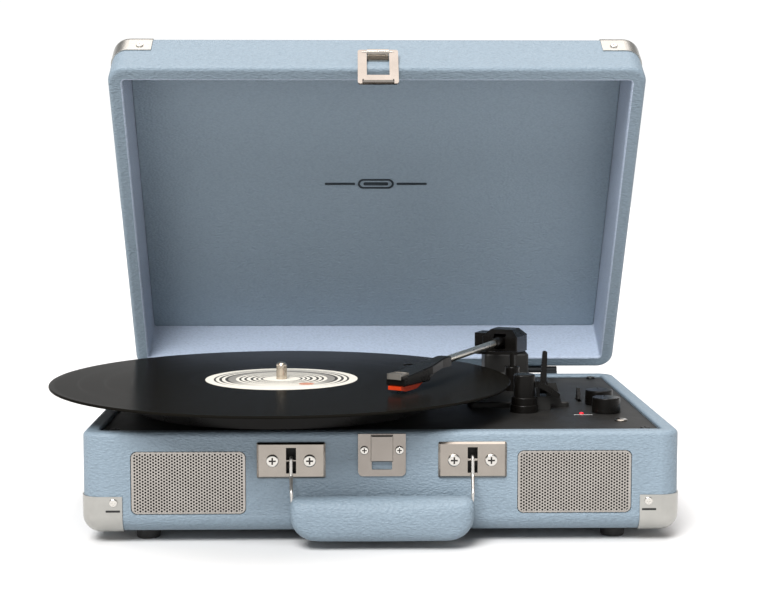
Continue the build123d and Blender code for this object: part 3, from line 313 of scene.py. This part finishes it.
# painted shade for the insides of the screw recesses
recess_painted_shade = metal("recess_painted_shade", (0.07, 0.068, 0.064), 0.5)
clamp_grey = metal("head_clamp_grey", (0.33, 0.31, 0.28), 0.42)
stylus_red = plastic(
    "stylus_red", (0.45, 0.032, 0.004), 0.22, Coat_Weight=0.3
)
lamp_red = new_material(
    "led_red", (0.8, 0.01, 0.02), 0.15, Emission_Color=(1, 0.01, 0.02, 1), Emission_Strength=0.5
)
rubber = plastic("rubber_black", (0.017, 0.016, 0.016), 0.75, 1800, 0.00008)
felt = woven("mat_felt", (0.016, 0.016, 0.017), 900)
speaker_fabric = woven("speaker_fabric", (0.01, 0.01, 0.01), 1100)
vinyl = record_vinyl()
label = record_label()
cone_paper = plastic("cone_paper", (0.04, 0.04, 0.04), 0.85, 900, 0.00015)
board_green = plastic("board_green", (0.02, 0.14, 0.05), 0.45)
white_print = plastic("white_print", (0.75, 0.75, 0.73), 0.5)
emblem_ink = plastic("emblem", (0.02, 0.028, 0.036), 0.4)

finishes = {
    "vinyl_blue": covering, "liner_blue": lining, "emblem": emblem_ink, "black_deck": black_deck,
    "black_plastic": black_plastic, "nickel": nickel, "corner_steel": corner_steel,
    "grille_metal": grille_steel, "screw_black": screw_black, "spindle_metal": turned,
    "arm_metal": champagne, "steel_parts": plain_steel, "stylus_red": stylus_red,
    "led_red": lamp_red, "rubber_black": rubber, "mat_felt": felt, "record_vinyl": vinyl,
    "label_paper": label, "cone_paper": cone_paper, "board_green": board_green,
    "socket_metal": nickel, "socket_plastic": black_deck,
}
for entry in frame["record"]["subparts"]:
    mesh = nodes[entry["node"]].data
    mesh.materials.clear()
    mesh.materials.append(finishes[entry["material_slot"]])

# the darker and lighter nickel copies here are painted shade and painted highlight on one plating
own_finishes = {
    "handle_plates": plate_nickel_painted_shade, "latch_catch": catch_nickel_painted_shade, "hasp_strap": plate_nickel_painted_shade,
    "front_screws": screw_nickel_painted_light, "case_small_screws": screw_nickel_painted_light,
    "lid_small_screws": screw_nickel_painted_light, "handle_wires": wire_nickel_painted_light,
    "tonearm_pivot_pins": black_plastic, "hasp_frame": catch_nickel_painted_shade,
    "hinge_base_leaves": hinge_dark, "hinge_lid_leaves": hinge_dark, "hinge_pins": hinge_dark,
}
for name, finish in own_finishes.items():
    nodes[name].data.materials[0] = finish

# the lid's inner walls get a still lighter copy of the panel's cloth: painted light for the light that falls on
# them
lid_mesh = nodes["lid_shell"].data
lid_mesh.materials.append(wall_liner_painted_light)
lid_corners = [Vector(corner) for corner in nodes["lid_shell"].bound_box]
lid_centre = sum(lid_corners, Vector()) / len(lid_corners)
for polygon in lid_mesh.polygons:
    if (lid_centre - polygon.center).dot(polygon.normal) > 0:
        polygon.material_index = 1


def paint_recess_shade(name, gap):
    """Painted shade in the cross recesses of screws that face the front and stand more than gap apart."""
    mesh = nodes[name].data
    mesh.materials.append(recess_painted_shade)
    heads = []
    for polygon in mesh.polygons:
        spot = polygon.center
        near = [head for head in heads
                if hypot(head[0].center.x - spot.x, head[0].center.z - spot.z) < gap]
        if near:
            near[0].append(polygon)
        else:
            heads.append([polygon])
    for head in heads:
        across = [polygon.center.x for polygon in head]
        tall = [polygon.center.z for polygon in head]
        reach = (max(across) - min(across)) / 2
        middle_x, middle_z = (max(across) + min(across)) / 2, (max(tall) + min(tall)) / 2
        front = min(polygon.center.y for polygon in head)
        for polygon in head:
            away = hypot(polygon.center.x - middle_x, polygon.center.z - middle_z)
            if away < 0.62 * reach and polygon.center.y > front + 0.05 * MM:
                polygon.material_index = 1


paint_recess_shade("front_screws", 9 * MM)


# ================================================================ pieces
def new_piece(name, points, faces, mat, body):
    """A mesh piece with merged corners and outward faces, riding on a body."""
    mesh = bpy.data.meshes.new(name)
    mesh.from_pydata(points, [], faces)
    shaped = bmesh.new()
    shaped.from_mesh(mesh)
    bmesh.ops.remove_doubles(shaped, verts=shaped.verts, dist=1e-6)
    bmesh.ops.dissolve_degenerate(shaped, edges=shaped.edges, dist=1e-6)
    bmesh.ops.recalc_face_normals(shaped, faces=shaped.faces)
    shaped.to_mesh(mesh)
    shaped.free()
    mesh.materials.append(mat)
    piece = bpy.data.objects.new(name, mesh)
    bpy.context.scene.collection.objects.link(piece)
    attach(piece, body)
    return piece


def held_inside(x, z, half_x, half_z, radius, inset):
    """The point, pulled inside a rounded rectangle that is smaller by inset."""
    across, up = abs(x) - (half_x - radius), abs(z) - (half_z - radius)
    reach = radius - inset
    if across > 0 and up > 0:
        shrink = min(1.0, reach / hypot(across, up))
        across, up = across * shrink, up * shrink
    across, up = min(across, reach), min(up, reach)
    new_x = (half_x - radius + across) * (1 if x >= 0 else -1)
    new_z = (half_z - radius + up) * (1 if z >= 0 else -1)
    return new_x, new_z


def rounded_loop(half_x, half_z, radius, inset, steps=8):
    """Points round a rounded rectangle that is smaller by inset."""
    corners = ((1, 1, 0), (-1, 1, 90), (-1, -1, 180), (1, -1, 270))
    return [
        (
            side * (half_x - radius) + (radius - inset) * cos(radians(start + 90 * step / steps)),
            end * (half_z - radius) + (radius - inset) * sin(radians(start + 90 * step / steps)),
        )
        for side, end, start in corners
        for step in range(steps + 1)
    ]


hole_radius = 0.63 * MM
column_pitch = 1.6 * MM
row_pitch = 1.9 * MM
grille_corner = 3.7 * MM


def perforated_grille(side):
    """Staggered round holes through a thin sheet, with the sheet's edge rolled back into the case."""
    low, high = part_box(f"speaker_grille_{side}")
    centre = (low + high) / 2
    half_x, half_z = (high.x - low.x) / 2, (high.z - low.z) / 2
    front, sheet_gauge, rim_width = low.y + 0.1 * MM, 0.45 * MM, 1.3 * MM
    bisector = (column_pitch ** 2 + row_pitch ** 2 / 4) / 2
    tip = bisector / column_pitch
    shoulder = (bisector - row_pitch ** 2 / 4) / column_pitch
    corners = [(tip, 0), (shoulder, row_pitch / 2), (-shoulder, row_pitch / 2),
               (-tip, 0), (-shoulder, -row_pitch / 2), (shoulder, -row_pitch / 2)]
    outline = []
    for start, end in zip(corners, corners[1:] + corners[:1]):
        outline += [start, ((start[0] + end[0]) / 2, (start[1] + end[1]) / 2)]
    count = len(outline)
    points, faces = [], []
    columns, rows = int(half_x / column_pitch) + 1, int(half_z / row_pitch) + 1
    for column in range(-columns, columns + 1):
        for row in range(-rows, rows + 1):
            x = column * column_pitch
            z = row * row_pitch + (row_pitch / 2 if column % 2 else 0)
            kept = held_inside(x, z, half_x, half_z, grille_corner, 0.25 * MM)
            if hypot(kept[0] - x, kept[1] - z) > 1e-7:
                continue
            base = len(points)
            for px, pz in outline:
                ex, ez = held_inside(x + px, z + pz, half_x, half_z, grille_corner, 0.2 * MM)
                points.append((centre.x + ex, front, centre.z + ez))
            for depth in (0, sheet_gauge):
                for px, pz in outline:
                    turn = atan2(pz, px)
                    hx, hz = held_inside(x + hole_radius * cos(turn), z + hole_radius * sin(turn),
                                         half_x, half_z, grille_corner, 0.21 * MM)
                    points.append((centre.x + hx, front + depth, centre.z + hz))
            for ring in (0, count):
                for step in range(count):
                    after = (step + 1) % count
                    faces.append((base + ring + step, base + ring + after,
                                  base + ring + count + after, base + ring + count + step))
    profile = ((rim_width, -0.04), (0.8 * MM, -0.1), (0.35 * MM, 0.0), (0.08 * MM, 0.25), (0, 0.8))
    loops = [[(centre.x + x, front + depth * MM, centre.z + z)
              for x, z in rounded_loop(half_x, half_z, grille_corner, inset)]
             for inset, depth in profile]
    base, size = len(points), len(loops[0])
    points += [point for loop in loops for point in loop]
    for ring in range(len(loops) - 1):
        for step in range(size):
            after = (step + 1) % size
            faces.append((base + ring * size + step, base + ring * size + after,
                          base + (ring + 1) * size + after, base + (ring + 1) * size + step))
    piece = new_piece(f"grille_{side}", points, faces, grille_steel, "case")
    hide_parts(f"speaker_grille_{side}")
    return piece


def speaker_cloth(side):
    """Black cloth stretched behind the grille."""
    low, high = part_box(f"speaker_grille_{side}")
    margin, cells = 0.9 * MM, 12
    wide, tall = high.x - low.x - 2 * margin, high.z - low.z - 2 * margin
    points = [(low.x + margin + wide * i / cells, high.y + 0.06 * MM, low.z + margin + tall * j / cells)
              for j in range(cells + 1) for i in range(cells + 1)]
    faces = [(j * (cells + 1) + i, j * (cells + 1) + i + 1, (j + 1) * (cells + 1) + i + 1,
              (j + 1) * (cells + 1) + i) for j in range(cells) for i in range(cells)]
    piece = new_piece(f"speaker_cloth_{side}", points, faces, speaker_fabric, "case")


for side in ("left", "right"):
    perforated_grille(side)
    speaker_cloth(side)


def padded_grip():
    """The handle's stuffed grip: the plain form is blown up a little as cloth, then smoothed."""
    source = nodes["handle_grip"]
    low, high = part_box("handle_grip")
    centre = (low + high) / 2
    piece = bpy.data.objects.new("grip_cover", source.data.copy())
    bpy.context.scene.collection.objects.link(piece)
    shrink = Matrix.Diagonal((0.985, 0.93, 0.95, 1))
    piece.data.transform(Matrix.Translation(centre) @ shrink @ Matrix.Translation(-centre))
    bpy.context.view_layer.objects.active = piece
    piece.select_set(True)
    remesh = piece.modifiers.new("remesh", "REMESH")
    remesh.mode = "VOXEL"
    remesh.voxel_size = 2.2 * MM
    bpy.ops.object.modifier_apply(modifier="remesh")
    rest = [vertex.co.copy() for vertex in piece.data.vertices]
    cloth = piece.modifiers.new("cloth", "CLOTH")
    cloth.settings.use_pressure = True
    cloth.settings.uniform_pressure_force = 4
    cloth.settings.effector_weights.gravity = 0
    for step in range(1, 21):
        bpy.context.scene.frame_set(step)
    bpy.ops.object.modifier_apply(modifier="cloth")
    bpy.context.scene.frame_set(1)
    cap = 1.4 * MM
    for vertex, before in zip(piece.data.vertices, rest):
        moved = vertex.co - before
        if moved.length > cap:
            vertex.co = before + moved.normalized() * cap
    smooth = piece.modifiers.new("smooth", "SMOOTH")
    smooth.factor = 0.5
    smooth.iterations = 4
    divide = piece.modifiers.new("divide", "SUBSURF")
    divide.levels = divide.render_levels = 1
    bpy.ops.object.modifier_apply(modifier="smooth")
    bpy.ops.object.modifier_apply(modifier="divide")
    # gathers where the covering is drawn in at the two upper ends
    for vertex in piece.data.vertices:
        end = abs(vertex.co.x - centre.x) / (high.x - centre.x)
        height = (vertex.co.z - centre.z) / (high.z - centre.z)
        gather = max(0.0, end - 0.62) * max(0.0, height) * 1.1
        vertex.co.y += gather * MM * sin(vertex.co.x / MM * 2.1 + vertex.co.z / MM * 0.7)
    piece.data.materials.clear()
    piece.data.materials.append(covering)
    for polygon in piece.data.polygons:
        polygon.use_smooth = True
    piece.select_set(False)
    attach(piece, "handle")
    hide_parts("handle_grip")


padded_grip()


# ---------------------------------------------------------------- tonearm details
arm_pivot = Vector(joints["tonearm_swing"]["pos_m"])
arm_pivot.z = joints["tonearm_lift"]["pos_m"][2]
arm_angle = radians(246.1)
head_offset = radians(9.2)
arm_reach = 133 * MM
clamp_reach = 52 * MM
lead_reach = 23.8 * MM
head_angle = arm_angle - head_offset
arm_way = Vector((cos(arm_angle), sin(arm_angle), 0))
head_way = Vector((cos(head_angle), sin(head_angle), 0))
head_root = arm_pivot + arm_way * arm_reach


def turned_piece(name, origin, way, profile, mat, body, sides=40):
    """A lathe piece: profile pairs are distance along the way and radius, in millimetres."""
    across = way.cross(Vector((0, 0, 1))).normalized()
    up = across.cross(way)
    points = [tuple(origin + way * along * MM + (across * cos(tau * k / sides)
              + up * sin(tau * k / sides)) * radius * MM)
              for along, radius in profile for k in range(sides)]
    faces = [(r * sides + k, r * sides + (k + 1) % sides, (r + 1) * sides + (k + 1) % sides,
              (r + 1) * sides + k) for r in range(len(profile) - 1) for k in range(sides)]
    faces += [tuple(range(sides)), tuple(range((len(profile) - 1) * sides, len(profile) * sides))]
    piece = new_piece(name, points, faces, mat, body)
    for polygon in piece.data.polygons:
        polygon.use_smooth = len(polygon.vertices) == 4
    return piece


def beveled_block(name, centre, ways, size, edge, mat, body):
    """A block with rounded edges: ways are its three directions, size is in millimetres."""
    shaped = bmesh.new()
    bmesh.ops.create_cube(shaped, size=1)
    for vertex in shaped.verts:
        place = vertex.co.copy()
        vertex.co = centre + sum((way * place[k] * size[k] * MM for k, way in enumerate(ways)), Vector())
    bmesh.ops.bevel(shaped, geom=shaped.edges[:], offset=edge * MM, segments=3, affect="EDGES")
    points = [tuple(vertex.co) for vertex in shaped.verts]
    faces = [tuple(vertex.index for vertex in face.verts) for face in shaped.faces]
    shaped.free()
    return new_piece(name, points, faces, mat, body)


def wire(name, points, thickness, mat, body):
    """A thin round wire through the points."""
    curve = bpy.data.curves.new(name, "CURVE")
    curve.dimensions = "3D"
    curve.bevel_depth = thickness * MM / 2
    curve.bevel_resolution = 3
    spline = curve.splines.new("NURBS")
    spline.points.add(len(points) - 1)
    for target, point in zip(spline.points, points):
        target.co = (*point, 1)
    spline.order_u = 3
    spline.use_endpoint_u = True
    curve.materials.append(mat)
    piece = bpy.data.objects.new(name, curve)
    bpy.context.scene.collection.objects.link(piece)
    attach(piece, body)


# the arm tube is black where it sits in the pivot housing
tube = nodes["tonearm_tube"]
tube.data.materials.append(black_plastic)
for polygon in tube.data.polygons:
    if (tube.matrix_world @ polygon.center - arm_pivot).length < 20 * MM:
        polygon.material_index = 1

turned_piece("arm_boss", arm_pivot, arm_way,
             [(9.2, 0.5), (9.2, 3.5), (17, 3.6), (25.4, 3.4), (26.2, 2.9), (26.2, 2.42)],
             black_plastic, "tonearm")

head_side = Vector((0, 0, 1)).cross(head_way)
up = Vector((0, 0, 1))
clamp_place = head_root + head_way * clamp_reach - up * 2.9 * MM
beveled_block("head_clamp", clamp_place, (head_way, head_side, up), (9.0, 9.0, 2.6), 0.5,
              clamp_grey, "tonearm")
for number, shift in enumerate((-2.4, -0.8, 0.8, 2.4)):
    start = head_root + head_way * lead_reach + head_side * shift * MM - up * 6.6 * MM
    wire(f"head_lead_{number + 1}", [
        start, start - head_way * 5 * MM - up * 1.2 * MM,
        start - head_way * 9 * MM + up * 0.6 * MM + head_side * 1.2 * MM,
        start - head_way * 12 * MM + up * 2.6 * MM,
    ], 0.5, nickel, "tonearm")


# ---------------------------------------------------------------- case details
def painted_shade_pocket(name, centre_x, centre_z, wide, tall, front, deep):
    """The inside of a slot in the case, coloured near-black as painted shade: four walls and a back, open at the
    front.
    """
    points = [(centre_x + x * wide / 2, front + y * deep, centre_z + z * tall / 2)
              for y in (0, 1) for x, z in ((-1, -1), (1, -1), (1, 1), (-1, 1))]
    faces = [(4, 5, 6, 7)] + [(k, (k + 1) % 4, 4 + (k + 1) % 4, 4 + k) for k in range(4)]
    new_piece(name, points, faces, black_deck, "case")


plates_low, plates_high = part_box("handle_plates")
plate_middle = (plates_low + plates_high) / 2
plate_reach = (plates_high.x - plates_low.x - 41 * MM) / 2
# painted shade: near-black pockets behind the slots in the handle plates
for side, word in ((-1, "left"), (1, "right")):
    painted_shade_pocket(f"handle_pocket_painted_shade_{word}", side * plate_reach, plate_middle.z, 5.9 * MM, 15.4 * MM,
                plates_high.y + 0.05 * MM, 4.8 * MM)

lamp_low, lamp_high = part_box("power_led")
deck_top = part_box("deck_plate")[1].z
lamp_middle = (lamp_low + lamp_high) / 2
line_place = Vector((lamp_middle.x + 0.6 * MM, lamp_low.y - 2.2 * MM, deck_top + 0.03 * MM))
beveled_block("lamp_line", line_place, (Vector((1, 0, 0)), Vector((0, 1, 0)), up),
              (12.0, 0.5, 0.08), 0.02, white_print, "case")
corner_low, corner_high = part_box("base_corners")
# painted shade: a thin near-black bar on each base corner stands in for the shade in its groove
for side, word in ((-1, "left"), (1, "right")):
    beveled_block(f"corner_groove_painted_shade_{word}",
                  Vector((side * (corner_high.x - 19.6 * MM), corner_low.y - 0.02 * MM,
                          corner_low.z + 14.4 * MM)),
                  (Vector((1, 0, 0)), Vector((0, 1, 0)), up), (8.6, 0.3, 1.3), 0.12, screw_black,
                  "case")


# ================================================================ floor, light and camera
def soft_sun(name, elevation, azimuth, spread, strength, tint=(1, 1, 1)):
    """A wide, even light: angles in degrees, azimuth 0 from the front and positive from the right."""
    light = bpy.data.lights.new(name, "SUN")
    light.angle = radians(spread)
    light.energy = strength
    light.color = tint
    lamp = bpy.data.objects.new(name, light)
    lamp.rotation_euler = (radians(90 - elevation), 0, radians(azimuth))
    bpy.context.scene.collection.objects.link(lamp)


floor_mesh = bpy.data.meshes.new("floor")
floor_mesh.from_pydata([(-6, -6, 0), (6, -6, 0), (6, 6, 0), (-6, 6, 0)], [], [(0, 1, 2, 3)])
floor_mesh.materials.append(new_material("floor_white", (0.62, 0.62, 0.62), 0.9))
floor = bpy.data.objects.new("floor", floor_mesh)
bpy.context.scene.collection.objects.link(floor)

# a white band round the horizon, and a dimmer sky above it
world = bpy.data.worlds.new("studio")
world.use_nodes = True
skyward = add_node(world, "ShaderNodeTexCoord")
height = add_node(world, "ShaderNodeSeparateXYZ", {"Vector": skyward.outputs["Generated"]})
brightness = add_node(
    world, "ShaderNodeMapRange",
    {"Value": height.outputs["Z"], "From Min": 0.22, "From Max": 0.45, "To Min": 1.05, "To Max": 0.3},
)
world.node_tree.links.new(
    brightness.outputs["Result"], world.node_tree.nodes["Background"].inputs["Strength"]
)
world.node_tree.nodes["Background"].inputs["Color"].default_value = (1, 1, 1, 1)
bpy.context.scene.world = world

soft_sun("key", 48, -20, 30, 4.7)
soft_sun("top", 80, 180, 60, 2.3, (1.0, 0.93, 0.89))

camera_data = bpy.data.cameras.new("camera")
camera_data.sensor_width = 36.0
camera_data.lens = 74.24
camera = bpy.data.objects.new("camera", camera_data)
camera.location = (-18.85 * MM, -1058.7 * MM, 232.4 * MM)
camera.rotation_euler = (radians(90 - 5.23), 0, radians(-1.2))
bpy.context.scene.collection.objects.link(camera)
bpy.context.scene.camera = camera
bpy.context.scene.view_settings.view_transform = "Standard"
